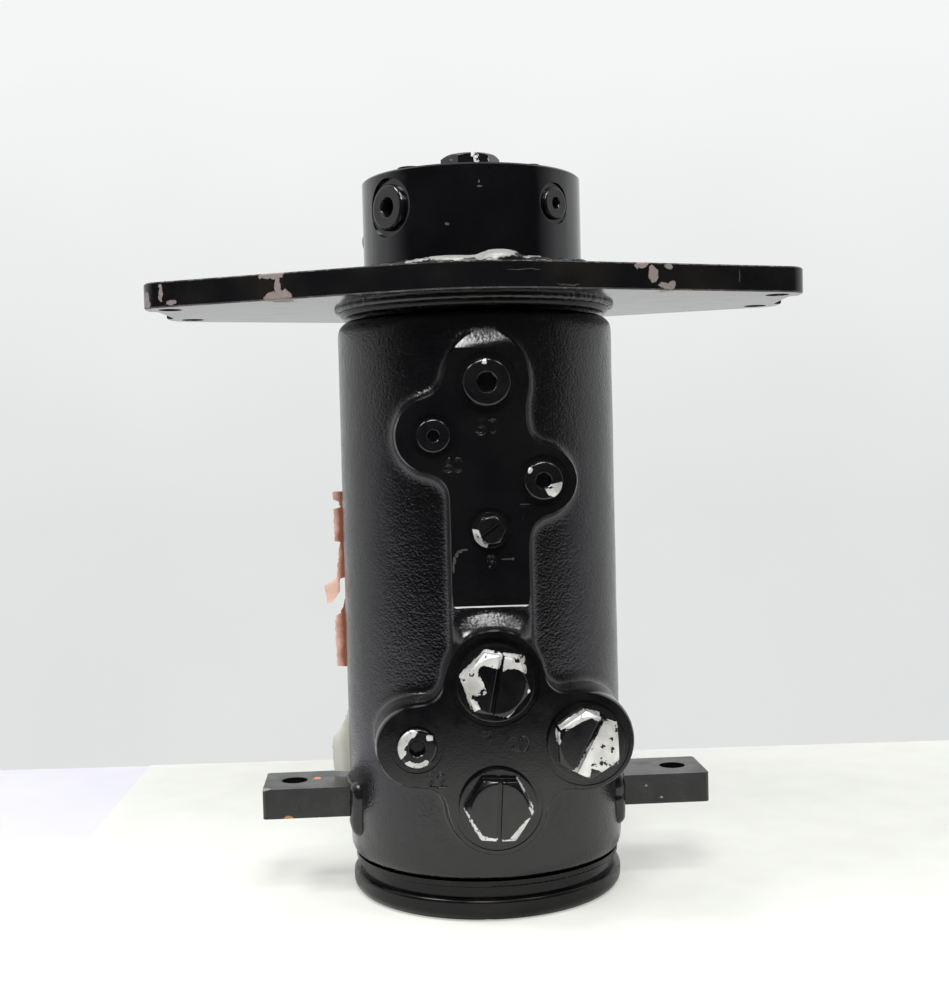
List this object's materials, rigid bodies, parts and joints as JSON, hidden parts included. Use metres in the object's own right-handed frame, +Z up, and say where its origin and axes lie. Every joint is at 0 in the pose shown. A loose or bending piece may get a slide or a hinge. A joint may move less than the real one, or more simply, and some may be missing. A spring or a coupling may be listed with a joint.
{
  "type": "hydraulic rotary union",
  "caption": "Hydraulic rotary union: ported cast housing with plugged ports and torque bars, turning about a ported stem under a lozenge mounting plate.",
  "frame": {"origin": "centre of the bottom cover's underside, on the swivel axis", "axes": "+Z up along the swivel axis towards the ported head, +X along the mounting plate's length, -Y the side the housing ports face"},
  "size_m": [0.39, 0.222, 0.4423],
  "materials": {
    "cast_paint": "gloss black paint over a pebbled casting",
    "machined_paint": "gloss black paint over turned steel",
    "plate_paint": "gloss black paint over plate and weld",
    "plug_paint": "gloss black paint over a plug",
    "plug_zinc": "zinc plated steel under flaking black paint",
    "fastener_steel": "black oxide steel",
    "seal_rubber": "oil resistant rubber",
    "slipper_ptfe": "filled PTFE",
    "bronze_washer": "plain bronze"
  },
  "bodies": {
    "housing": {"body_casting": "cast_paint", "torque_bar_left": "plate_paint", "torque_bar_right": "plate_paint", "bar_welds": "plate_paint", "bottom_cover": "machined_paint", "cover_seal": "seal_rubber", "cover_bolts": "fastener_steel", "slipper_seals": "slipper_ptfe", "seal_energisers": "seal_rubber", "wear_rings": "slipper_ptfe", "wiper_seal": "seal_rubber", "housing_plug_half": "plug_paint", "housing_plug_quarter": "plug_paint", "housing_plugs_three_eighths": "plug_paint", "housing_plug_small": "plug_zinc", "housing_plugs_one": "plug_zinc", "housing_plug_seals": "seal_rubber"},
    "stem": {"stem": "machined_paint", "head_plug_half": "plug_paint", "head_plug_quarter": "plug_paint", "head_plug_three_eighths": "plug_paint", "head_plug_small": "plug_zinc", "head_plugs_one": "plug_zinc", "head_plug_top": "plug_zinc", "head_plug_seals": "seal_rubber", "passage_plugs": "plug_paint", "mounting_plate": "plate_paint", "collar_ring": "plate_paint", "plate_welds": "plate_paint", "thrust_plate": "fastener_steel", "thrust_washer": "bronze_washer", "thrust_bolts": "fastener_steel"}
  },
  "joints": [
    {"name": "swivel", "type": "hinge", "parent": "housing", "child": "stem", "pos_m": [0, 0, 0.35], "axis": [0, 0, 1], "continuous": true}
  ]
}
